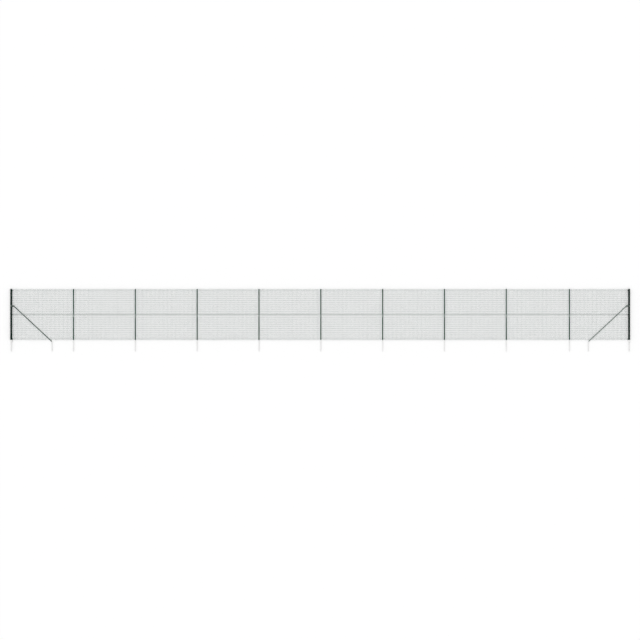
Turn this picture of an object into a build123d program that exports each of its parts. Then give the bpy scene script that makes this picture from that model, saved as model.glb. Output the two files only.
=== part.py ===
# Wire mesh fence, laid on its back: welded mesh and tension wires on round posts that stand
# in ground spikes, with a sloping brace at each end.
# X runs along the fence, Y up its posts and Z out of its face. The origin is under its middle.
import math
import os

from build123d import *

# Mesh: vertical wires in each bay, and horizontal wires in the bottom, middle and top strip of a bay
bay_wires = (46, 47, 47, 47, 47, 47, 47, 47, 48, 44)
strip_wires = (9, 9, 10)
strip_names = ("bottom", "middle", "top")
cell_width = 53.2
cell_height = 75.6
mesh_wire = 4.0
mesh_stub = 5.0
mesh_rise = 9.0
mesh_end_gap = 1.2
mesh_overhang = 53.2

# Tension wires
tension_wire = 4.0
tension_inset = 40.0
middle_strands = 2
wire_clearance = 0.1

# Posts
end_post_diameter = 76.0
end_post_wall = 2.0
line_post_diameter = 34.0
line_post_wall = 1.5
post_height = 2056.0

# Post caps
cap_lip = 2.5
cap_dome = 9.0
cap_plug = 25.0
cap_clearance = 0.2

# Ground spikes
socket_depth = 70.0
socket_floor = 5.0
socket_wall = 2.5
fork_depth = 92.0
fit_clearance = 0.3
spike_reach = 400.0
spike_point = 30.0
fin_thickness = 3.0
line_fin_width = 38.0
end_fin_width = 46.0

# Braces: crushed flat at both ends round a bolt
brace_diameter = 28.0
brace_wall = 1.5
brace_rise = 1375.0
brace_reach = 98.0
foot_reach = 1646.0
tab_width = 40.0
tab_run = 36.0
neck_run = 45.0
foot_gap = 3.0

# Straps: brace clamps and tension bands round the end posts
strap = 2.5
clamp_height = 50.0
ear_margin = 20.0
ear_round = 8.0
band_height = 22.0
band_reach = 54.0
band_margin = 9.0
band_round = 4.0

# Bolts
brace_bolt = 8.0
brace_hex = 13.0
band_bolt = 6.0
band_hex = 10.0
bolt_clearance = 0.5
thread_clearance = 0.1
head_share = 0.66
nut_share = 0.8
tail_share = 0.35

# Clips that press the middle wire and one mesh wire to each line post
clip_width = 24.0
clip_length = 110.0
clip_drop = 46.0
clip_thickness = 2.0
clip_round = 5.0
screw_diameter = 4.8
screw_hex = 8.0
screw_head = 4.0
screw_flange = 11.0
screw_flange_thickness = 1.0
screw_bite = 9.0
screw_clearance = 0.1

# Worked out along the fence
bay_leads = [mesh_overhang] + [cell_width / 2] * (len(bay_wires) - 1)
bay_tails = [cell_width / 2] * (len(bay_wires) - 1) + [mesh_overhang]
bay_lengths = [
    lead + (wires - 1) * cell_width + tail
    for lead, wires, tail in zip(bay_leads, bay_wires, bay_tails)
]
mesh_length = sum(bay_lengths)
end_radius = end_post_diameter / 2
line_radius = line_post_diameter / 2
strap_radius = end_radius + fit_clearance + strap
end_x = mesh_length / 2 + mesh_end_gap + strap_radius

# Worked out up the fence, where rim_y is the top of the spikes' sockets
spike_length = socket_depth + socket_floor + spike_reach
rim_y = (spike_length - post_height - cap_dome) / 2
mesh_height = (sum(strip_wires) - 1) * cell_height
bottom_wire_rise = mesh_rise + tension_inset
middle_wire_rise = mesh_rise + mesh_height / 2
top_wire_rise = mesh_rise + mesh_height - tension_inset
clip_rise = middle_wire_rise - clip_drop
tab_radius = tab_width / 2
foot_rise = tab_radius + foot_gap - fork_depth

# Worked out of the face: every post's back lies at one height above the floor
post_back = fit_clearance + max(socket_wall, strap)
end_z = post_back + end_radius
line_z = post_back + line_radius
front_z = line_z + line_radius + wire_clearance
wire_front_z = front_z + tension_wire
tension_z = front_z + tension_wire / 2


def laid(shape, x, z):
    # Lay an upright piece, built from its socket's rim, on its back along the fence
    return Pos(x, rim_y, z) * Rot(-90, 0, 0) * shape


def both_ends(shape):
    # The left piece and its mirror image at the right end
    return [shape, mirror(shape, about=Plane.YZ)]


def save(name, solids, curved=True):
    # Flat faces need no curves written on their surfaces
    shape = solids[0] if len(solids) == 1 else Compound(solids)
    export_step(shape, f"parts/{name}.step", write_pcurves=curved)


def mesh_strip(columns, rows, lead, tail, low, high):
    # Verticals lie on the horizontals and are welded to them where they cross; lead and tail
    # are the horizontals' ends beyond the first and last vertical, low and high the verticals'
    length = lead + (columns - 1) * cell_width + tail
    height = (rows - 1) * cell_height
    bar = Pos(length / 2, 0, -mesh_wire / 2) * Box(length, mesh_wire, mesh_wire)
    horizontals = [Pos(0, row * cell_height, 0) * bar for row in range(rows)]
    middle = Pos(lead, (height + high - low) / 2, mesh_wire / 2)
    upright = middle * Box(mesh_wire, height + high + low, mesh_wire)
    verticals = [Pos(column * cell_width, 0, 0) * upright for column in range(columns)]
    return horizontals[0].fuse(*horizontals[1:], *verticals)


def post(diameter, wall):
    section = Circle(diameter / 2) - Circle(diameter / 2 - wall)
    return Pos(0, 0, -socket_depth) * extrude(section, socket_depth + post_height)


def line_post():
    # A tube drilled in its front wall for the clip's screw
    drill = Rot(90, 0, 0) * Cylinder(screw_diameter / 2 + screw_clearance, line_radius)
    return post(line_post_diameter, line_post_wall) - Pos(0, -line_radius, clip_rise) * drill


def cap(diameter, wall):
    # A domed head, flush with the tube, on a plug that fits inside it
    radius = diameter / 2
    plug_radius = radius - wall - cap_clearance
    sides = Polyline(
        (radius, cap_lip), (radius, 0), (plug_radius, 0),
        (plug_radius, -cap_plug), (0, -cap_plug), (0, cap_dome),
    )
    dome = TangentArc((0, cap_dome), (radius, cap_lip), tangent=(1, 0))
    profile = Plane.XZ * make_face(sides + dome)
    return Pos(0, 0, post_height) * revolve(profile, Axis.Z)


def fins(width, depth):
    # Two crossed blades from a head whose floor starts at a depth; they run to a point
    top = -depth - socket_floor
    shoulder = spike_point - spike_length
    outline = Polyline(
        (-width / 2, top), (width / 2, top), (width / 2, shoulder), (0, -spike_length),
        (-width / 2, shoulder), (-width / 2, top),
    )
    blade = extrude(Plane.XZ * make_face(outline), fin_thickness / 2, both=True)
    return blade + Rot(0, 0, 90) * blade


def post_spike(diameter, fin_width):
    # A floored socket round the post's foot, on crossed blades
    bore = diameter / 2 + fit_clearance
    depth = socket_depth + socket_floor
    cup = Pos(0, 0, -depth) * extrude(Circle(bore + socket_wall), depth)
    hollow = Pos(0, 0, -socket_depth) * extrude(Circle(bore), socket_depth)
    return cup - hollow + fins(fin_width, socket_depth)


def ear_slot():
    # Half the slot between two ears that take a brace's flat end
    return brace_wall + fit_clearance


def brace_spike():
    # Two ears on a round head take the brace's flat foot
    head_radius = line_radius + fit_clearance + socket_wall
    head = Pos(0, 0, -fork_depth - socket_floor) * extrude(Circle(head_radius), socket_floor)
    lower = Pos(0, (foot_rise - fork_depth) / 2) * Rectangle(tab_width, foot_rise + fork_depth)
    upper = Pos(0, foot_rise) * Circle(tab_radius)
    hole = Pos(0, foot_rise) * Circle(brace_bolt / 2 + bolt_clearance)
    ear = extrude(Plane.XZ * (lower + upper - hole), strap)
    front = Pos(0, -ear_slot(), 0) * ear
    back = Pos(0, ear_slot() + strap, 0) * ear
    return head + front + back + fins(line_fin_width, fork_depth)


def strap_with_ears(height, slot, slot_y, reach, margin, rounding, hole):
    # A strap bent round an end post, its two ends drawn out as ears with a bolt hole;
    # slot is half the width between the ears and slot_y its place behind the post's axis
    ear_end = reach + margin
    outer = Circle(strap_radius) + Pos(ear_end / 2, slot_y) * Rectangle(ear_end, 2 * (slot + strap))
    inner = Circle(strap_radius - strap) + Pos(ear_end / 2, slot_y) * Rectangle(ear_end, 2 * slot)
    body = Pos(0, 0, -height / 2) * extrude(outer - inner, height)
    corners = body.edges().filter_by(Axis.Y).group_by(Axis.X)[-1]
    drill = Pos(reach, slot_y, 0) * Rot(90, 0, 0) * Cylinder(hole / 2, 2 * (slot + 2 * strap))
    return fillet(corners, rounding) - drill


def brace_clamp():
    hole = brace_bolt + 2 * bolt_clearance
    offset = end_z - line_z
    body = strap_with_ears(clamp_height, ear_slot(), offset, brace_reach, ear_margin, ear_round, hole)
    return laid(Pos(0, 0, brace_rise) * body, -end_x, end_z)


def tension_band(rise):
    hole = band_bolt + 2 * bolt_clearance
    slot = tension_wire / 2 + fit_clearance
    offset = end_z - tension_z
    body = strap_with_ears(band_height, slot, offset, band_reach, band_margin, band_round, hole)
    return laid(Pos(0, 0, rise) * body, -end_x, end_z)


def tension_run(rise, strands):
    # A taut wire from band to band, its ends turned into eyes round the bands' bolts;
    # two strands lie side by side
    eye_radius = band_bolt / 2 + bolt_clearance
    eye_x = end_x - band_reach
    eyes = [Pos(side * eye_x, 0) * Circle(eye_radius + tension_wire) for side in (-1, 1)]
    bores = [Pos(side * eye_x, 0) * Circle(eye_radius) for side in (-1, 1)]
    outline = Rectangle(2 * eye_x, strands * tension_wire) + eyes - bores
    return Pos(0, rim_y + rise, front_z) * extrude(outline, tension_wire)


def brace():
    # A tube along X from its upper bolt to its lower one, crushed to a flat round-ended tab at each
    start = Vector(brace_reach - end_x, rim_y + brace_rise)
    run = Vector(foot_reach - end_x, rim_y + foot_rise) - start
    length = run.length
    radius = brace_diameter / 2
    neck_end = tab_run + neck_run
    flat = Circle(tab_radius) + Pos(tab_run / 2, 0) * Rectangle(tab_run, tab_width)
    tab = extrude(flat - Circle(brace_bolt / 2 + bolt_clearance), brace_wall, both=True)
    flat_end = Plane.YZ.offset(tab_run) * Rectangle(tab_width, 2 * brace_wall)
    round_end = Plane.YZ.offset(neck_end) * Circle(radius)
    section = Plane.YZ.offset(neck_end) * (Circle(radius) - Circle(radius - brace_wall))
    barrel = extrude(section, length / 2 - neck_end)
    upper = tab + loft([flat_end, round_end]) + barrel
    whole = upper + Pos(length, 0, 0) * Rot(0, 0, 180) * upper
    slope = math.degrees(math.atan2(run.Y, run.X))
    return Pos(start.X, start.Y, line_z) * Rot(0, 0, slope) * whole


def bolt(diameter, hexagon, grip):
    # A hexagon bolt along Z, its grip centred on the origin and its head in front
    shank_length = grip + diameter * (nut_share + tail_share)
    shank = Pos(0, 0, -shank_length) * extrude(Circle(diameter / 2), shank_length)
    head = extrude(RegularPolygon(hexagon / 2, 6, major_radius=False), diameter * head_share)
    return Pos(0, 0, grip / 2) * (head + shank)


def nut(diameter, hexagon, grip):
    section = RegularPolygon(hexagon / 2, 6, major_radius=False) - Circle(diameter / 2 + thread_clearance)
    return Pos(0, 0, -grip / 2 - diameter * nut_share) * extrude(section, diameter * nut_share)


def clip(x):
    hole = Circle(screw_diameter / 2 + screw_clearance)
    plate = RectangleRounded(clip_width, clip_length, clip_round) - hole
    return Pos(x, rim_y + clip_rise, wire_front_z) * extrude(plate, clip_thickness)


def clip_screw(x):
    # A flanged hexagon head on a shank that bites through the post's front wall
    seat = wire_front_z + clip_thickness
    shank = seat - front_z + screw_bite
    flange = extrude(Circle(screw_flange / 2), screw_flange_thickness)
    hexagon = RegularPolygon(screw_hex / 2, 6, major_radius=False)
    head = extrude(hexagon, screw_flange_thickness + screw_head)
    whole = flange + head + Pos(0, 0, -shank) * extrude(Circle(screw_diameter / 2), shank)
    return Pos(x, rim_y + clip_rise, seat) * whole


os.makedirs("parts", exist_ok=True)

# Line posts stand where two bays meet
bay_starts = [sum(bay_lengths[:bay]) - mesh_length / 2 for bay in range(len(bay_lengths))]
line_places = bay_starts[1:]

# Mesh, in three strips a bay: strips meet half a cell from their wires
half_cell = cell_height / 2
strip_ends = ((mesh_stub, half_cell), (half_cell, half_cell), (half_cell, mesh_stub))
strips = {}
for bay, run in enumerate(zip(bay_wires, bay_leads, bay_tails)):
    columns, lead, tail = run
    first_row = 0
    for name, rows, ends in zip(strip_names, strip_wires, strip_ends):
        if (run, name) not in strips:
            strips[run, name] = mesh_strip(columns, rows, lead, tail, *ends)
        place = Pos(bay_starts[bay], rim_y + mesh_rise + first_row * cell_height, wire_front_z)
        save(f"mesh_bay_{bay + 1}_{name}", [place * strips[run, name]], curved=False)
        first_row += rows

# Posts, caps and spikes
line_tube = line_post()
for number, x in enumerate(line_places, start=1):
    save(f"line_post_{number}", [laid(line_tube, x, line_z)])
for side, x in (("left", -end_x), ("right", end_x)):
    save(f"end_post_{side}", [laid(post(end_post_diameter, end_post_wall), x, end_z)])
line_cap = cap(line_post_diameter, line_post_wall)
save("line_post_caps", [laid(line_cap, x, line_z) for x in line_places])
save("end_post_caps", both_ends(laid(cap(end_post_diameter, end_post_wall), -end_x, end_z)))
line_spike = post_spike(line_post_diameter, line_fin_width)
save("line_post_spikes", [laid(line_spike, x, line_z) for x in line_places])
save("end_post_spikes", both_ends(laid(post_spike(end_post_diameter, end_fin_width), -end_x, end_z)))

# Braces, their clamps, spikes and bolts
brace_left, brace_right = both_ends(brace())
save("brace_left", [brace_left])
save("brace_right", [brace_right])
save("brace_clamps", both_ends(brace_clamp()))
save("brace_spikes", both_ends(laid(brace_spike(), foot_reach - end_x, line_z)))
brace_grip = 2 * (ear_slot() + strap)
brace_pins = [
    Pos(brace_reach - end_x, rim_y + brace_rise, line_z),
    Pos(foot_reach - end_x, rim_y + foot_rise, line_z),
]
brace_bolts = [pin * bolt(brace_bolt, brace_hex, brace_grip) for pin in brace_pins]
brace_nuts = [pin * nut(brace_bolt, brace_hex, brace_grip) for pin in brace_pins]
save("brace_bolts", [piece for left in brace_bolts for piece in both_ends(left)])
save("brace_nuts", [piece for left in brace_nuts for piece in both_ends(left)])

# Tension wires with their bands and bolts
wire_rises = (bottom_wire_rise, middle_wire_rise, top_wire_rise)
for name, rise, strands in zip(strip_names, wire_rises, (1, middle_strands, 1)):
    save(f"tension_wire_{name}", [tension_run(rise, strands)])
band_grip = tension_wire + 2 * (fit_clearance + strap)
band_pins = [Pos(band_reach - end_x, rim_y + rise, tension_z) for rise in wire_rises]
band_bolts = [pin * bolt(band_bolt, band_hex, band_grip) for pin in band_pins]
band_nuts = [pin * nut(band_bolt, band_hex, band_grip) for pin in band_pins]
save("tension_bands", [piece for rise in wire_rises for piece in both_ends(tension_band(rise))])
save("band_bolts", [piece for left in band_bolts for piece in both_ends(left)])
save("band_nuts", [piece for left in band_nuts for piece in both_ends(left)])

# Clips and their screws
save("middle_wire_clips", [clip(x) for x in line_places])
save("clip_screws", [clip_screw(x) for x in line_places])
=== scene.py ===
import bpy
import numpy as np
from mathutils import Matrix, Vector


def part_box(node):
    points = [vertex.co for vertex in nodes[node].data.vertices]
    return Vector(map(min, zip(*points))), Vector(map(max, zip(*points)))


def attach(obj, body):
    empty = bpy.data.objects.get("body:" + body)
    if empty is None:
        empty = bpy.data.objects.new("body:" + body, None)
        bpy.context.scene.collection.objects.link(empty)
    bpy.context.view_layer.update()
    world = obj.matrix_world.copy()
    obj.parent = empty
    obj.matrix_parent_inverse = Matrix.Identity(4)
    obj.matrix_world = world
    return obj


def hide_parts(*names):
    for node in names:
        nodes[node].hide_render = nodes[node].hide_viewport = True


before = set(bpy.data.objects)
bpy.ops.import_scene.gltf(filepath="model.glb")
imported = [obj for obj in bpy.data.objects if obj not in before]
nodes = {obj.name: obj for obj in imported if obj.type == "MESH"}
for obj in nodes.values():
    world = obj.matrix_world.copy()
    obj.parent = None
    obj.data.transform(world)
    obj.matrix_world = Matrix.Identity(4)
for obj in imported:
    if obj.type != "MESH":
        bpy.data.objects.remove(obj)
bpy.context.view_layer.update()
print("frame loaded:", len(nodes), "nodes")

# places read from the frame; all lengths in metres

stripNames = ("bottom", "middle", "top")
endSides = (("left", -1), ("right", 1))
linePostNames = sorted((n for n in nodes if n.startswith("line_post_") and n[-1].isdigit()),
                       key=lambda n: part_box(n)[0].x)
endPostNames = {side: f"end_post_{side}" for side, sign in endSides}
bayCount = sum(n.startswith("mesh_bay_") for n in nodes) // len(stripNames)


def middleOf(node):
    low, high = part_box(node)
    return (low + high) / 2


def radiusOf(node):
    low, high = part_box(node)
    return (high.x - low.x) / 2


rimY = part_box("line_post_spikes")[1].y  # top of the sockets, at ground level
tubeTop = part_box("end_post_left")[1].y
clampY = middleOf("brace_clamps").y  # where the braces are clamped to the end posts
linePlaces = [middleOf(n) for n in linePostNames]
endPlaces = {side: middleOf(n) for side, n in endPostNames.items()}
lineZ, endZ = linePlaces[0].z, endPlaces["left"].z
lineRadius, endRadius = radiusOf(linePostNames[0]), radiusOf("end_post_left")
xAxis, yAxis, zAxis = np.eye(3)

# finishes

driftDetail, grainDetail, bloomDetail = 3.0, 2.0, 5.0
noiseBand = (0.25, 0.75)  # where most of a noise field's values lie


def newFinish(name):
    material = bpy.data.materials.new(name)
    material.use_nodes = True
    tree = material.node_tree
    return material, tree, tree.nodes["Principled BSDF"]


def noiseField(tree, scale, detail):
    # noise on Object coordinates
    place = tree.nodes.new("ShaderNodeTexCoord")
    noise = tree.nodes.new("ShaderNodeTexNoise")
    noise.inputs["Scale"].default_value = scale
    noise.inputs["Detail"].default_value = detail
    tree.links.new(place.outputs["Object"], noise.inputs["Vector"])
    return noise.outputs["Fac"]


def crystalField(tree, scale):
    # one flat random value a crystal, as in the spangle of a zinc coat
    place = tree.nodes.new("ShaderNodeTexCoord")
    cells = tree.nodes.new("ShaderNodeTexVoronoi")
    cells.inputs["Scale"].default_value = scale
    tree.links.new(place.outputs["Object"], cells.inputs["Vector"])
    grey = tree.nodes.new("ShaderNodeRGBToBW")
    tree.links.new(cells.outputs["Color"], grey.inputs["Color"])
    return grey.outputs["Val"]


def colourFrom(tree, field, shades):
    # shades are (place, colour) stops, eased from one to the next
    ramp = tree.nodes.new("ShaderNodeValToRGB")
    stops = ramp.color_ramp.elements
    while len(stops) < len(shades):
        stops.new(0.5)
    for stop, (place, colour) in zip(stops, shades):
        stop.position = place
        stop.color = (*colour, 1)
    tree.links.new(field, ramp.inputs["Fac"])
    return ramp.outputs["Color"]


def spreadOver(tree, field, low, high):
    spread = tree.nodes.new("ShaderNodeMapRange")
    spread.inputs["From Min"].default_value = noiseBand[0]
    spread.inputs["From Max"].default_value = noiseBand[1]
    spread.inputs["To Min"].default_value = low
    spread.inputs["To Max"].default_value = high
    tree.links.new(field, spread.inputs["Value"])
    return spread.outputs["Result"]


def bumpFrom(tree, shader, field, height):
    bump = tree.nodes.new("ShaderNodeBump")
    bump.inputs["Distance"].default_value = height
    tree.links.new(field, bump.inputs["Height"])
    tree.links.new(bump.outputs["Normal"], shader.inputs["Normal"])


wireCoatLook = dict(
    shades=((0.3, (0.001, 0.05, 0.026)), (0.7, (0.002, 0.082, 0.046))),
    drift=9.0, roughness=(0.4, 0.54), grain=1400.0, height=0.00006, shine=0.06, metal=0.0)
linePostLook = dict(
    shades=((0.3, (0.001, 0.044, 0.024)), (0.7, (0.002, 0.066, 0.038))),
    drift=5.0, roughness=(0.34, 0.46), grain=520.0, height=0.00012, shine=0.06, metal=0.0)
endPostLook = dict(
    shades=((0.3, (0.001, 0.009, 0.006)), (0.7, (0.002, 0.015, 0.01))),
    drift=5.0, roughness=(0.36, 0.48), grain=520.0, height=0.00012, shine=0.06, metal=0.0)
# the two braces get two copies of one coat: the right one is paler, painted light for the sun from the
# upper left falling along the right brace's side, and the left one is darker
leftBraceLook = dict(
    shades=((0.3, (0.024, 0.052, 0.036)), (0.7, (0.036, 0.078, 0.054))),
    drift=5.0, roughness=(0.34, 0.46), grain=520.0, height=0.00012, shine=0.06, metal=0.0)
rightBracePaintedLightLook = dict(
    shades=((0.3, (0.16, 0.205, 0.175)), (0.7, (0.24, 0.295, 0.26))),
    drift=5.0, roughness=(0.34, 0.46), grain=520.0, height=0.00012, shine=0.06, metal=0.0)
clampCoatLook = dict(
    shades=((0.3, (0.085, 0.115, 0.1)), (0.7, (0.12, 0.15, 0.135))),
    drift=14.0, roughness=(0.36, 0.5), grain=700.0, height=0.0001, shine=0.3, metal=0.0)
capLook = dict(
    shades=((0.35, (0.004, 0.014, 0.01)), (0.65, (0.007, 0.021, 0.015))),
    drift=60.0, roughness=(0.44, 0.58), grain=1900.0, height=0.00008, shine=0.3, metal=0.0)
boltLook = dict(
    shades=((0.3, (0.5, 0.51, 0.5)), (0.7, (0.66, 0.67, 0.67))),
    drift=160.0, roughness=(0.22, 0.36), grain=2600.0, height=0.00003, shine=0.5, metal=0.9)
spikeZincLook = dict(
    shades=((0.1, (0.78, 0.78, 0.775)), (0.5, (0.875, 0.875, 0.87)), (0.9, (0.93, 0.93, 0.925))),
    spangle=120.0, roughness=(0.44, 0.62), bloom=30.0, height=0.00012, metal=0.15)
clipZincLook = dict(
    shades=((0.1, (0.26, 0.29, 0.28)), (0.5, (0.34, 0.37, 0.36)), (0.9, (0.42, 0.45, 0.44))),
    spangle=150.0, roughness=(0.4, 0.58), bloom=60.0, height=0.0001, metal=0.2)


def coatFinish(name, look):
    # a coat whose colour drifts slowly over the piece, with a fine grain in its gloss and surface
    material, tree, shader = newFinish(name)
    drift = noiseField(tree, look["drift"], driftDetail)
    tree.links.new(colourFrom(tree, drift, look["shades"]), shader.inputs["Base Color"])
    fine = noiseField(tree, look["grain"], grainDetail)
    tree.links.new(spreadOver(tree, fine, *look["roughness"]), shader.inputs["Roughness"])
    bumpFrom(tree, shader, fine, look["height"])
    shader.inputs["Metallic"].default_value = look["metal"]
    shader.inputs["Specular IOR Level"].default_value = look["shine"]
    return material


def zincFinish(name, look):
    # hot-dip zinc: crystals of slightly different grey under a faint cloudy bloom
    material, tree, shader = newFinish(name)
    crystals = crystalField(tree, look["spangle"])
    tree.links.new(colourFrom(tree, crystals, look["shades"]), shader.inputs["Base Color"])
    bloom = noiseField(tree, look["bloom"], bloomDetail)
    tree.links.new(spreadOver(tree, bloom, *look["roughness"]), shader.inputs["Roughness"])
    bumpFrom(tree, shader, bloom, look["height"])
    shader.inputs["Metallic"].default_value = look["metal"]
    return material


wireCoat = coatFinish("greenWireCoat", wireCoatLook)
linePostCoat = coatFinish("mossGreenPostCoat", linePostLook)
endPostCoat = coatFinish("blackGreenPostCoat", endPostLook)
# the right brace's paler coat is painted light: the sun from the upper left lighting its side
braceCoats = dict(left=coatFinish("greyGreenBraceCoat", leftBraceLook),
                  right=coatFinish("rightBracePaintedLightCoat", rightBracePaintedLightLook))
clampCoat = coatFinish("greyGreenStrapCoat", clampCoatLook)
capPlastic = coatFinish("mouldedCapPlastic", capLook)
boltPlate = coatFinish("zincPlatedBolt", boltLook)
spikeZinc = zincFinish("galvanisedSpangle", spikeZincLook)
clipZinc = zincFinish("dullClipZinc", clipZincLook)
print("finishes made")

# surfaces


def smoothStep(t):
    # 3 t squared less 2 t cubed, level at 0 and at 1
    t = np.clip(t, 0, 1)
    return t * t * (3 - 2 * t)


def fullTurn(steps):
    # angles evenly round a circle, the first not repeated
    return np.arange(steps) * 2 * np.pi / steps


def addPiece(name, parts, material, replaced=()):
    # parts is a list of (points, face groups); a group is an array of faces with one number of corners
    points, groups, start = [], [], 0
    for part, faces in parts:
        points.append(part)
        groups += [group + start for group in faces]
        start += len(part)
    points = np.concatenate(points).astype(np.float32)
    corners = np.concatenate([g.ravel() for g in groups]).astype(np.int32)
    sizes = np.concatenate([np.full(len(g), g.shape[1], np.int32) for g in groups])
    starts = np.concatenate([[0], np.cumsum(sizes)[:-1]]).astype(np.int32)
    mesh = bpy.data.meshes.new(name)
    mesh.vertices.add(len(points))
    mesh.vertices.foreach_set("co", points.ravel())
    mesh.loops.add(len(corners))
    mesh.loops.foreach_set("vertex_index", corners)
    mesh.polygons.add(len(sizes))
    mesh.polygons.foreach_set("loop_start", starts)
    mesh.polygons.foreach_set("use_smooth", sizes == 4)  # quads are smooth, end faces flat
    mesh.update(calc_edges=True)
    mesh.validate()
    mesh.materials.append(material)
    piece = bpy.data.objects.new(name, mesh)
    bpy.context.scene.collection.objects.link(piece)
    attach(piece, "root")
    if replaced:
        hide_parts(*replaced)


def ringFaces(tubes, stations, sides, closed=False):
    # quads between neighbouring rings of each tube; an open tube gets one face at each end
    index = np.arange(tubes * stations * sides).reshape(tubes, stations, sides)
    here = index if closed else index[:, :-1]
    onward = np.roll(index, -1, axis=1) if closed else index[:, 1:]
    quads = np.stack([here, np.roll(here, -1, 2), np.roll(onward, -1, 2), onward], axis=-1)
    if closed:
        return [quads.reshape(-1, 4)]
    return [quads.reshape(-1, 4), np.concatenate([index[:, 0, ::-1], index[:, -1]])]


def straightWires(paths, across, lift, radius, sides):
    # a round section in one fixed plane, carried along each path: path + r (cos a across + sin a lift)
    angle = fullTurn(sides)
    ring = radius * (np.cos(angle)[:, None] * across + np.sin(angle)[:, None] * lift)
    points = (paths[:, :, None, :] + ring).reshape(-1, 3)
    return points, ringFaces(paths.shape[0], paths.shape[1], sides)


def bentWire(path, radius, sides, up, closed=False):
    # a round section square to the path: across is up crossed with the run, lift the run with across
    run = np.roll(path, -1, axis=0) - np.roll(path, 1, axis=0) if closed else np.gradient(path, axis=0)
    run /= np.linalg.norm(run, axis=1, keepdims=True)
    across = np.cross(up, run)
    across /= np.linalg.norm(across, axis=1, keepdims=True)
    lift = np.cross(run, across)
    angle = fullTurn(sides)[None, :, None]
    ring = np.cos(angle) * across[:, None, :] + np.sin(angle) * lift[:, None, :]
    return (path[:, None, :] + radius * ring).reshape(-1, 3), ringFaces(1, len(path), sides, closed)


def turned(profile, x, z, sides, closed=False):
    # a profile of (radius, y) turned round an upright axis: (x + r sin a, y, z + r cos a);
    # an open profile starts and ends close to the axis, at a small end face
    angle = fullTurn(sides)
    radius, rise = np.asarray(profile, float).T
    points = np.empty((len(radius), sides, 3))
    points[..., 0] = x + radius[:, None] * np.sin(angle)
    points[..., 1] = rise[:, None]
    points[..., 2] = z + radius[:, None] * np.cos(angle)
    return points.reshape(-1, 3), ringFaces(1, len(radius), sides, closed)


def plate(outline, thickness, chamfer, origin, u, v):
    # a flat outline given thickness along u crossed with v, its edges cut back towards its middle
    outline = np.asarray(outline, float)
    middle = outline.mean(0)
    reach = np.linalg.norm(outline - middle, axis=1, keepdims=True)
    inner = middle + (outline - middle) * (1 - chamfer / reach)
    w = np.cross(u, v)
    half = thickness / 2
    levels = ((inner, -half), (outline, chamfer - half), (outline, half - chamfer), (inner, half))
    rings = [np.asarray(origin) + flat[:, :1] * u + flat[:, 1:] * v + height * w
             for flat, height in levels]
    return np.concatenate(rings), ringFaces(1, len(levels), len(outline))


def strapOnEdge(path, halfHeights, thickness, chamfer, x, y, z):
    # a strap carried along a path of (x, z): its normal is the run turned a quarter in that plane, and
    # its section a rectangle with cut corners, eight points given as (out, side) about the path
    run = np.gradient(path, axis=0)
    run /= np.linalg.norm(run, axis=1, keepdims=True)
    normal = np.stack([run[:, 1], np.zeros(len(run)), -run[:, 0]], axis=1)
    cut = np.array([0, 0, 1, -1, 0, 0, -1, 1]) * chamfer
    out = np.array([1, 1, 1, -1, -1, -1, -1, 1]) * thickness / 2 - cut
    side = np.array([-1, 1, 1, 1, 1, -1, -1, -1])
    trim = np.array([1, 1, 0, 0, 1, 1, 0, 0]) * chamfer
    centre = np.stack([path[:, 0] + x, np.full(len(path), y), path[:, 1] + z], axis=1)
    points = centre[:, None, :] + out[None, :, None] * normal[:, None, :]
    points[..., 1] += side * (halfHeights[:, None] - trim)
    return points.reshape(-1, 3), ringFaces(1, len(path), len(out))


# welded mesh: one piece a bay

meshLook = dict(
    cellWidth=0.0532, cellHeight=0.0756, wire=0.004, stub=0.005, sides=6, weldSink=0.0006,
    crimp=0.003, crimpFlat=0.0026, crimpFoot=0.0085,
    hookTurn=2.0, hookStations=14, clampHalf=0.032)


def rowStations(low, high, columns, look):
    # where a horizontal has its bends: level at each vertical, and a crimp midway between two, a short
    # flat between two slopes; gives x along the wire and how far each station is pushed up
    middles = (columns[:-1] + columns[1:]) / 2
    flat, foot, crimp = look["crimpFlat"], look["crimpFoot"], look["crimp"]
    bends = (columns[:-1], middles - foot, middles - flat, middles + flat, middles + foot)
    push = np.tile([0, 0, crimp, crimp, 0], len(middles))
    along = np.concatenate([[low], np.stack(bends, axis=1).ravel(), [columns[-1], high]])
    return along, np.concatenate([[0], push, [0, 0]])


def endHooks(x, sign, rows, z, look):
    # each horizontal's end runs on round the front of the end post: an arc about the post's axis,
    # from the mesh's plane to hookTurn radians round, left out where the brace's clamp sits
    rows = rows[np.abs(rows - clampY) > look["clampHalf"]]
    radius = endRadius + look["wire"] / 2
    start = np.arcsin((z - endZ) / radius)
    turn = np.linspace(start, start + look["hookTurn"], look["hookStations"])
    path = np.zeros((len(turn) + 1, 3))
    path[0] = x - sign * (radius + look["wire"]), 0, z
    path[1:, 0] = x - sign * radius * np.cos(turn)
    path[1:, 2] = endZ + radius * np.sin(turn)
    return [bentWire(path + row * yAxis, look["wire"] / 2, look["sides"], yAxis) for row in rows]


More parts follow.
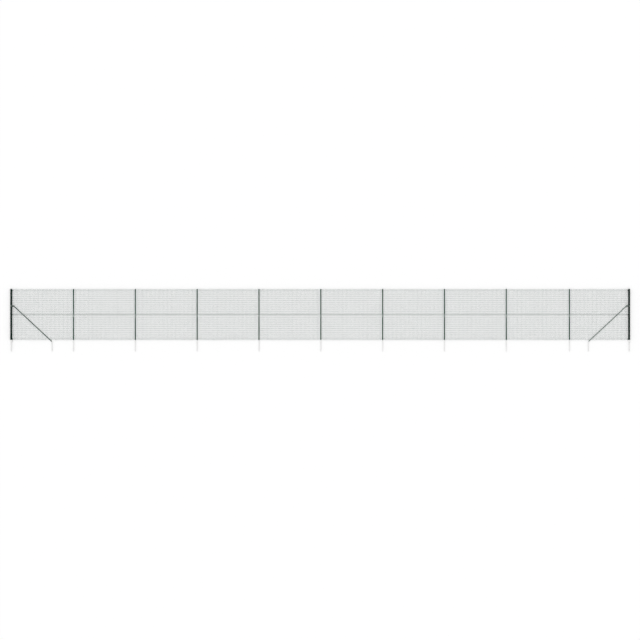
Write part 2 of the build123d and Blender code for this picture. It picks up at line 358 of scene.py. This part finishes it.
def weldedBay(number, look):
    # straight uprights at even places in front of crimped level wires at even heights, sunk into them
    # a little at the welds; an upright stands half a cell or more from each end of its bay
    names = [f"mesh_bay_{number}_{s}" for s in stripNames]
    low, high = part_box(names[0])[0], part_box(names[2])[1]
    pitch, radius = look["cellWidth"], look["wire"] / 2
    offset = linePlaces[0].x + pitch / 2
    first = np.ceil((low.x + pitch / 4 - offset) / pitch)
    last = np.floor((high.x - pitch / 4 - offset) / pitch)
    columns = offset + np.arange(first, last + 1) * pitch
    rows = np.arange(low.y + look["stub"], high.y, look["cellHeight"])
    along, push = rowStations(low.x, high.x, columns, look)
    rowPaths = np.zeros((len(rows), len(along), 3))
    rowPaths[..., 0] = along
    rowPaths[..., 1] = rows[:, None] + push
    rowPaths[..., 2] = low.z + radius
    columnPaths = np.zeros((len(columns), 2, 3))
    columnPaths[..., 0] = columns[:, None]
    columnPaths[..., 1] = low.y, high.y
    columnPaths[..., 2] = high.z - radius - look["weldSink"]
    parts = [straightWires(rowPaths, yAxis, zAxis, radius, look["sides"]),
             straightWires(columnPaths, zAxis, xAxis, radius, look["sides"])]
    for side, sign in endSides:
        if number == (1 if sign < 0 else bayCount):
            parts += endHooks(endPlaces[side].x, sign, rows, low.z + radius, look)
    addPiece(f"meshBay{number}", parts, wireCoat, names)


for number in range(1, bayCount + 1):
    weldedBay(number, meshLook)
print("mesh bays made:", bayCount)

# tension wires: an eye round the band's bolt at each end

tensionLook = dict(
    wire=0.004, sides=10, bore=0.0035, neck=0.018, spread=0.002, eyeStations=9, neckStations=9,
    wraps=4, pitch=0.0043, wrapStations=12, wrapSides=8)


def eyeHalf(look, straightY):
    # half an eye, from its far side to the straight: a quarter circle, then y eases to straightY
    radius = look["bore"] + look["wire"] / 2
    turn = np.linspace(np.pi, np.pi / 2, look["eyeStations"])
    run = np.linspace(0, 1, look["neckStations"] + 1)[1:]
    x = np.concatenate([radius * np.cos(turn), look["neck"] * run])
    y = np.concatenate([radius * np.sin(turn), radius + (straightY - radius) * smoothStep(run)])
    return x, y


def tailCoil(eyeX, sign, middle, look):
    # a single wire's tail, a helix wound on the wire itself just past its neck
    turn = np.linspace(0, 2 * np.pi * look["wraps"], look["wrapStations"] * look["wraps"] + 1)
    along = sign * (eyeX - look["neck"] - turn / (2 * np.pi) * look["pitch"])
    coil = np.stack([along, middle.y - look["wire"] * np.cos(turn),
                     middle.z + look["wire"] * np.sin(turn)], axis=1)
    return bentWire(coil, look["wire"] / 2, look["wrapSides"], xAxis)


def tensionWire(strip, doubled, look):
    # doubled: one closed loop from eye to eye, its two strands side by side;
    # single: an open wire whose two ends go round their eyes and coil back on it
    name = f"tension_wire_{strip}"
    middle = middleOf(name)
    radius = look["wire"] / 2
    eyeX = -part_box(name)[0].x - look["bore"] - look["wire"]
    x, y = eyeHalf(look, look["spread"] if doubled else 0.0)

    def placed(along, up):
        return np.stack([along, middle.y + up, np.full(len(along), middle.z)], axis=1)

    if doubled:
        upper = placed(np.concatenate([x - eyeX, eyeX - x[::-1]]), np.concatenate([y, y[::-1]]))
        lower = placed(np.concatenate([eyeX - x, x[::-1] - eyeX]), np.concatenate([-y, -y[::-1]]))
        loop = np.concatenate([upper[:-1], lower[:-1]])
        parts = [bentWire(loop, radius, look["sides"], zAxis, True)]
    else:
        tailX, tailY = eyeHalf(look, look["wire"])
        x, y = np.concatenate([tailX[:0:-1], x]), np.concatenate([-tailY[:0:-1], y])
        path = placed(np.concatenate([x - eyeX, eyeX - x[::-1]]), np.concatenate([y, y[::-1]]))
        parts = [bentWire(path, radius, look["sides"], zAxis)]
        parts += [tailCoil(eyeX, sign, middle, look) for side, sign in endSides]
    addPiece(f"tensionWire{strip.title()}", parts, wireCoat, [name])


for strip in stripNames:
    tensionWire(strip, strip == "middle", tensionLook)
print("tension wires made")

# posts and caps

postLook = dict(lineWall=0.0015, endWall=0.002, rim=0.0004, lineSides=32, endSides=48)
capShape = dict(lip=0.0025, dome=0.009, plug=0.025, plugEdge=0.001, clearance=0.0002, stations=9,
                groove=0.0004, pole=0.0006)


def tubePost(name, node, wall, sides, material, look):
    # a closed wall profile with softened rims, turned round the post's axis
    low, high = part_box(node)
    middle = middleOf(node)
    outer, rim = radiusOf(node), look["rim"]
    inner = outer - wall
    profile = [(outer - rim, low.y), (outer, low.y + rim), (outer, high.y - rim), (outer - rim, high.y),
               (inner + rim, high.y), (inner, high.y - rim), (inner, low.y + rim), (inner + rim, low.y)]
    tube = turned(profile, middle.x, middle.z, sides, True)
    addPiece(name, [tube], material, [node])


def capProfile(outer, wall, top, look):
    # from the plug's end up its side, out to the lip, and over the dome, a quarter ellipse to the pole
    plug = outer - wall - look["clearance"]
    foot, edge = top - look["plug"], look["plugEdge"]
    turn = np.linspace(0, np.pi / 2, look["stations"])[:-1]
    rise = top + look["lip"] + (look["dome"] - look["lip"]) * np.sin(turn)
    start = [(look["pole"], foot), (plug - edge, foot), (plug, foot + edge), (plug, top),
             (outer - look["groove"], top), (outer, top + look["groove"])]
    dome = np.stack([outer * np.cos(turn), rise], axis=1)
    return np.concatenate([start, dome, [(look["pole"], top + look["dome"])]])


for number, node in enumerate(linePostNames, 1):
    tubePost(f"linePost{number}", node, postLook["lineWall"], postLook["lineSides"], linePostCoat,
             postLook)
for side, node in endPostNames.items():
    tubePost(f"endPost{side.title()}", node, postLook["endWall"], postLook["endSides"], endPostCoat,
             postLook)

lineCap = capProfile(lineRadius, postLook["lineWall"], tubeTop, capShape)
endCap = capProfile(endRadius, postLook["endWall"], tubeTop, capShape)
lineCaps = [turned(lineCap, p.x, p.z, postLook["lineSides"]) for p in linePlaces]
endCaps = [turned(endCap, p.x, p.z, postLook["endSides"]) for p in endPlaces.values()]
addPiece("linePostCaps", lineCaps, capPlastic, ["line_post_caps"])
addPiece("endPostCaps", endCaps, capPlastic, ["end_post_caps"])
print("posts and caps made")

# ground spikes

spikeLook = dict(
    depth=0.07, floor=0.005, wall=0.0025, clearance=0.0003, rim=0.0006, footEdge=0.002, pole=0.0006,
    length=0.475, point=0.03, blade=0.003, chamfer=0.0005, lineWidth=0.038, endWidth=0.046,
    bead=0.0022, beadRadius=0.006, beadStations=7, beadSides=16)


def blades(x, z, top, width, look):
    # two crossed plates that run to a point, and the weld bead at their top, a ring of half-round section
    tip = rimY - look["length"]
    half, shoulder = width / 2, tip + look["point"]
    outline = [(0, tip), (half, shoulder), (half, top), (-half, top), (-half, shoulder)]
    bead, pole = look["bead"], look["pole"]
    turn = np.linspace(-np.pi / 2, np.pi / 2, look["beadStations"])
    ring = np.stack([look["beadRadius"] + bead * np.cos(turn), top + bead * np.sin(turn)], axis=1)
    weld = np.concatenate([[(pole, top - bead)], ring, [(pole, top + bead)]])
    crossed = [plate(outline, look["blade"], look["chamfer"], (x, 0, z), u, yAxis)
               for u in (xAxis, -zAxis)]
    return crossed + [turned(weld, x, z, look["beadSides"])]


def socketSpike(place, radius, width, sides, look):
    # a floored cup round the post's foot, turned from a wall profile, on crossed blades
    inner, rim, edge, pole = radius + look["clearance"], look["rim"], look["footEdge"], look["pole"]
    outer, floorY = inner + look["wall"], rimY - look["depth"]
    bottom = floorY - look["floor"]
    cup = [(pole, bottom), (outer - edge, bottom), (outer, bottom + edge), (outer, rimY - rim),
           (outer - rim, rimY), (inner + rim, rimY), (inner, rimY - rim), (inner, floorY), (pole, floorY)]
    return [turned(cup, place.x, place.z, sides)] + blades(place.x, place.z, bottom, width, look)


lineSpikes, endSpikes = [], []
for p in linePlaces:
    lineSpikes += socketSpike(p, lineRadius, spikeLook["lineWidth"], postLook["lineSides"], spikeLook)
for p in endPlaces.values():
    endSpikes += socketSpike(p, endRadius, spikeLook["endWidth"], postLook["endSides"], spikeLook)
addPiece("linePostSpikes", lineSpikes, spikeZinc, ["line_post_spikes"])
addPiece("endPostSpikes", endSpikes, spikeZinc, ["end_post_spikes"])

# braces, with the forked spikes at their feet

braceLook = dict(
    diameter=0.028, wall=0.0015, reach=0.098, footReach=1.646, footRise=-0.069,
    tabWidth=0.04, tabRun=0.036, neckRun=0.045, slabPower=5, sides=28,
    tipStart=0.04, tipStations=9, neckStations=10)
forkLook = dict(depth=0.092, slot=0.0018, ear=0.0025, chamfer=0.0004, sink=0.001, headStations=13,
                discEdge=0.001, discRim=0.0006)


def crushedTube(start, end, look):
    # a tube along its run whose section is a superellipse: round in the middle, its power 2, and near
    # both ends eased to a wide thin slab, whose half-width follows a half circle at its very end
    span = np.linalg.norm(end - start)
    tab, run, neck, slab = look["tabWidth"] / 2, look["tabRun"], look["neckRun"], look["slabPower"]
    tip = -tab * np.cos(np.linspace(look["tipStart"], np.pi / 2, look["tipStations"]))
    steps = np.arange(1, look["neckStations"] + 1) / look["neckStations"]
    near = np.concatenate([tip, [run / 2, run], run + neck * steps])
    s = np.concatenate([near, span - near[::-1]])
    d = np.minimum(s, span - s)
    ease = smoothStep((d - run) / neck)
    flatWide = np.sqrt(np.clip(tab ** 2 - np.minimum(d, 0) ** 2, 0, None))
    halfWide = flatWide + (look["diameter"] / 2 - tab) * ease
    halfThick = look["wall"] + (look["diameter"] / 2 - look["wall"]) * ease
    power = (2 / (slab + (2 - slab) * ease))[:, None]
    angle = fullTurn(look["sides"])
    c, n = np.cos(angle), np.sin(angle)
    wide = halfWide[:, None] * np.sign(c) * np.abs(c) ** power
    thick = halfThick[:, None] * np.sign(n) * np.abs(n) ** power
    forward = (end - start) / span
    across = np.cross(zAxis, forward)
    centre = (start + s[:, None] * forward)[:, None, :]
    points = centre + wide[..., None] * across + thick[..., None] * zAxis
    return points.reshape(-1, 3), ringFaces(1, len(s), look["sides"])


def forkedSpike(x, brace, fork, spike):
    # two round-headed ears on a turned disc, over crossed blades
    half, base = brace["tabWidth"] / 2, rimY - fork["depth"]
    turn = np.linspace(0, np.pi, fork["headStations"])
    head = np.stack([half * np.cos(turn), rimY + brace["footRise"] + half * np.sin(turn)], axis=1)
    foot = base - fork["sink"]
    outline = np.concatenate([[(-half, foot), (half, foot)], head])
    offset = fork["slot"] + fork["ear"] / 2
    ears = [plate(outline, fork["ear"], fork["chamfer"], (x, 0, lineZ + s * offset), xAxis, yAxis)
            for s in (-1, 1)]
    outer, low = lineRadius + spike["clearance"] + spike["wall"], base - spike["floor"]
    edge, rim, pole = fork["discEdge"], fork["discRim"], spike["pole"]
    profile = [(pole, low), (outer - edge, low), (outer, low + edge), (outer, base - rim),
               (outer - rim, base), (pole, base)]
    disc = turned(profile, x, lineZ, postLook["lineSides"])
    return ears + [disc] + blades(x, lineZ, low, spike["lineWidth"], spike)


forks = []
for side, sign in endSides:
    topX, footX = (endPlaces[side].x - sign * braceLook[k] for k in ("reach", "footReach"))
    top = np.array([topX, clampY, lineZ])
    foot = np.array([footX, rimY + braceLook["footRise"], lineZ])
    tube = crushedTube(top, foot, braceLook)
    # the right brace takes the paler coat, which is painted light
    addPiece(f"brace{side.title()}", [tube], braceCoats[side], [f"brace_{side}"])
    forks += forkedSpike(footX, braceLook, forkLook, spikeLook)
addPiece("braceSpikes", forks, spikeZinc, ["brace_spikes"])

# straps round the end posts: clamps for the braces, bands for the tension wires

strapShape = dict(thickness=0.0025, clearance=0.0003, chamfer=0.0004, bendStations=56,
                  roundStart=0.05, roundStations=6, straight=0.006)
clampLook = dict(height=0.05, reach=braceLook["reach"], margin=0.02, rounding=0.008, slot=0.0018)
bandLook = dict(height=0.022, reach=0.054, margin=0.009, rounding=0.004, slot=0.0023)


def earedStrap(side, sign, y, slotZ, look, shape):
    # a strap bent round the end post, its two ends drawn out side by side as ears with rounded corners:
    # straight, circle arc, straight, the half-height falling along a quarter circle at each tip
    rounding, thickness = look["rounding"], shape["thickness"]
    radius = endRadius + shape["clearance"] + thickness / 2
    gap = look["slot"] + thickness / 2
    upper, lower = slotZ - endZ + gap, slotZ - endZ - gap
    bend = np.linspace(np.arcsin(upper / radius), 2 * np.pi + np.arcsin(lower / radius),
                       shape["bendStations"])
    corner = np.linspace(shape["roundStart"], np.pi / 2, shape["roundStations"])
    fromTip = np.append(rounding * (1 - np.cos(corner)), rounding + shape["straight"])
    out = look["reach"] + look["margin"] - fromTip
    path = np.concatenate([np.stack([out, np.full(len(out), upper)], axis=1),
                           radius * np.stack([np.cos(bend), np.sin(bend)], axis=1),
                           np.stack([out[::-1], np.full(len(out), lower)], axis=1)])
    path[:, 0] *= -sign
    fall = np.clip(rounding - fromTip, 0, None)
    ear = look["height"] / 2 - rounding + np.sqrt(rounding ** 2 - fall ** 2)
    halfHeights = np.concatenate([ear, np.full(len(bend), look["height"] / 2), ear[::-1]])
    return strapOnEdge(path, halfHeights, thickness, shape["chamfer"], endPlaces[side].x, y, endZ)


clamps = [earedStrap(side, sign, clampY, lineZ, clampLook, strapShape) for side, sign in endSides]
addPiece("braceClamps", clamps, clampCoat, ["brace_clamps"])

bands = []
for strip in stripNames:
    wire = middleOf(f"tension_wire_{strip}")
    bands += [earedStrap(side, sign, wire.y, wire.z, bandLook, strapShape) for side, sign in endSides]
addPiece("tensionBands", bands, endPostCoat, ["tension_bands"])
print("spikes, braces and straps made")

# clips over the middle wire, with pressed ribs, and tie wires at other rows

clipLook = dict(
    width=0.024, length=0.11, thickness=0.002, chamfer=0.0004, rounding=0.005, cornerStations=5,
    ribWidth=0.007, ribHeight=0.0012, ribLength=0.032, ribPlace=0.28, ribSink=0.0001,
    ribSides=16, ribStations=5, ribTop=1.54)
tieLook = dict(
    wire=0.0018, sides=5, stations=48, rows=(3, 6, 9, 18, 21, 24), slant=0.01, flat=0.35, lift=0.75,
    standOff=0.0003, tail=0.014, tailTurn=-0.35, tailStations=9, tailShare=0.8, twist=0.0005,
    twistTurn=18)


def roundedOutline(width, length, rounding, stations):
    # straight sides joined by quarter circles, corner by corner from the lower right
    turn = np.linspace(-np.pi / 2, 0, stations)
    places = ((1, -1, 0), (1, 1, 1), (-1, 1, 2), (-1, -1, 3))
    corners = [np.stack([u * (width / 2 - rounding) + rounding * np.cos(turn + quarter * np.pi / 2),
                         v * (length / 2 - rounding) + rounding * np.sin(turn + quarter * np.pi / 2)],
                        axis=1)
               for u, v, quarter in places]
    return np.concatenate(corners)


def clipPlate(x, y, z, look):
    # a rounded plate with a low rib above and below its screw: each rib half an ellipsoid on a grid of
    # two angles, one round it and one up it, that stops just short of its pole at ribTop
    outline = roundedOutline(look["width"], look["length"], look["rounding"], look["cornerStations"])
    parts = [plate(outline, look["thickness"], look["chamfer"], (x, y, z), xAxis, yAxis)]
    around = fullTurn(look["ribSides"])
    up = np.append(np.linspace(0, np.pi / 2, look["ribStations"])[:-1], look["ribTop"])
    foot = z + look["thickness"] / 2 - look["ribSink"]
    for sign in (-1, 1):
        centre = np.array([x, y + sign * look["length"] * look["ribPlace"], foot])
        grid = np.empty((len(up), len(around), 3))
        grid[..., 0] = look["ribWidth"] / 2 * np.cos(up)[:, None] * np.cos(around)
        grid[..., 1] = look["ribLength"] / 2 * np.cos(up)[:, None] * np.sin(around)
        grid[..., 2] = look["ribHeight"] * np.sin(up)[:, None]
        parts.append(((grid + centre).reshape(-1, 3), ringFaces(1, len(up), len(around))))
    return parts


def tieLoop(place, y, look):
    # a slanting loop round the post that stands off in front to pass over the wire: the radius eases
    # from the post's to a flat front at the wire's face, and y swings by slant from side to side;
    # its tail runs straight out at tailTurn, with a small wave up and down for the twist
    turn = fullTurn(look["stations"])
    front = np.abs((turn - np.pi / 2 + np.pi) % (2 * np.pi) - np.pi)
    close, lift = lineRadius + look["wire"] / 2, look["lift"]
    clear = (close + meshLook["wire"] + look["standOff"]) / np.cos(np.minimum(front, lift))
    radius = close + (clear - close) * smoothStep((lift - front) / (lift - look["flat"]))
    loop = np.stack([place.x + radius * np.cos(turn), y + look["slant"] * np.cos(turn),
                     place.z + radius * np.sin(turn)], axis=1)
    steps = np.linspace(0, 1, look["tailStations"])
    away, angle = close + look["tail"] * steps, look["tailTurn"]
    wave = look["twist"] * np.sin(steps * look["twistTurn"])
    tail = np.stack([place.x + away * np.cos(angle), y + look["slant"] * np.cos(angle) + wave,
                     place.z + away * np.sin(angle)], axis=1)
    return [bentWire(loop, look["wire"] / 2, look["sides"], yAxis, True),
            bentWire(tail, look["wire"] * look["tailShare"], look["sides"], yAxis)]


clipMiddle = middleOf("middle_wire_clips")
clips = sum((clipPlate(p.x, clipMiddle.y, clipMiddle.z, clipLook) for p in linePlaces), [])
addPiece("middleWireClips", clips, clipZinc, ["middle_wire_clips"])

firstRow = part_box("mesh_bay_1_bottom")[0].y + meshLook["stub"]
tieHeights = [firstRow + row * meshLook["cellHeight"] for row in tieLook["rows"]]
tieHeights += [middleOf(f"tension_wire_{strip}").y for strip in ("bottom", "top")]
ties = sum((tieLoop(p, y, tieLook) for p in linePlaces for y in tieHeights), [])
addPiece("postTies", ties, wireCoat)

for node in ("brace_bolts", "brace_nuts", "band_bolts", "band_nuts", "clip_screws"):
    nodes[node].data.materials.clear()
    nodes[node].data.materials.append(boltPlate)
print("clips, ties and bolts made")

# floor, light and camera

stageLook = dict(floorSize=900.0, floorShade=0.82, seenShade=1.0, world=0.846, sun=0.58,
                 sunTurn=(-0.42, -0.36, 0.0), sunSpread=0.35)
cameraLook = dict(lens=100.0, sensor=36.0, frameWidth=25.876, middle=(-0.0055, 0.012),
                  sightHeight=0.04, farthest=2000.0)


def diffuse(tree, shade):
    shader = tree.nodes.new("ShaderNodeBsdfDiffuse")
    shader.inputs["Color"].default_value = (shade, shade, shade, 1)
    return shader.outputs[0]


def larger(tree, first, second):
    node = tree.nodes.new("ShaderNodeMath")
    node.operation = "MAXIMUM"
    tree.links.new(first, node.inputs[0])
    tree.links.new(second, node.inputs[1])
    return node.outputs[0]


def makeFloor(look):
    # pale to the light that bounces off it, and white where it is seen straight, mirrored or through
    half = look["floorSize"] / 2
    mesh = bpy.data.meshes.new("floor")
    mesh.from_pydata([(-half, -half, 0), (half, -half, 0), (half, half, 0), (-half, half, 0)], [],
                     [(0, 1, 2, 3)])
    material, tree, shader = newFinish("paleFloor")
    tree.nodes.remove(shader)
    rays = tree.nodes.new("ShaderNodeLightPath").outputs
    straight = larger(tree, rays["Is Camera Ray"], rays["Is Glossy Ray"])
    seen = larger(tree, straight, rays["Is Transmission Ray"])
    mix = tree.nodes.new("ShaderNodeMixShader")
    tree.links.new(seen, mix.inputs["Fac"])
    tree.links.new(diffuse(tree, look["floorShade"]), mix.inputs[1])
    tree.links.new(diffuse(tree, look["seenShade"]), mix.inputs[2])
    tree.links.new(mix.outputs[0], tree.nodes["Material Output"].inputs["Surface"])
    mesh.materials.append(material)
    floor = bpy.data.objects.new("floor", mesh)
    bpy.context.scene.collection.objects.link(floor)


def makeLight(look):
    # an even white dome, and a soft sun from the picture's upper left
    world = bpy.data.worlds.new("studio")
    world.use_nodes = True
    background = world.node_tree.nodes["Background"]
    background.inputs["Color"].default_value = (1, 1, 1, 1)
    background.inputs["Strength"].default_value = look["world"]
    bpy.context.scene.world = world
    lamp = bpy.data.lights.new("softSun", "SUN")
    lamp.energy = look["sun"]
    lamp.angle = look["sunSpread"]
    sun = bpy.data.objects.new("softSun", lamp)
    sun.rotation_euler = look["sunTurn"]
    bpy.context.scene.collection.objects.link(sun)


def makeCamera(look):
    # straight down on the fence's face, with the posts' tops to the top of the picture
    data = bpy.data.cameras.new("camera")
    data.lens = look["lens"]
    data.sensor_width = look["sensor"]
    data.clip_end = look["farthest"]
    camera = bpy.data.objects.new("camera", data)
    distance = look["frameWidth"] * look["lens"] / look["sensor"]
    camera.location = (*look["middle"], distance + look["sightHeight"])
    bpy.context.scene.collection.objects.link(camera)
    bpy.context.scene.camera = camera


makeFloor(stageLook)
makeLight(stageLook)
makeCamera(cameraLook)
bpy.context.scene.view_settings.view_transform = "Standard"
print("floor, light and camera made")
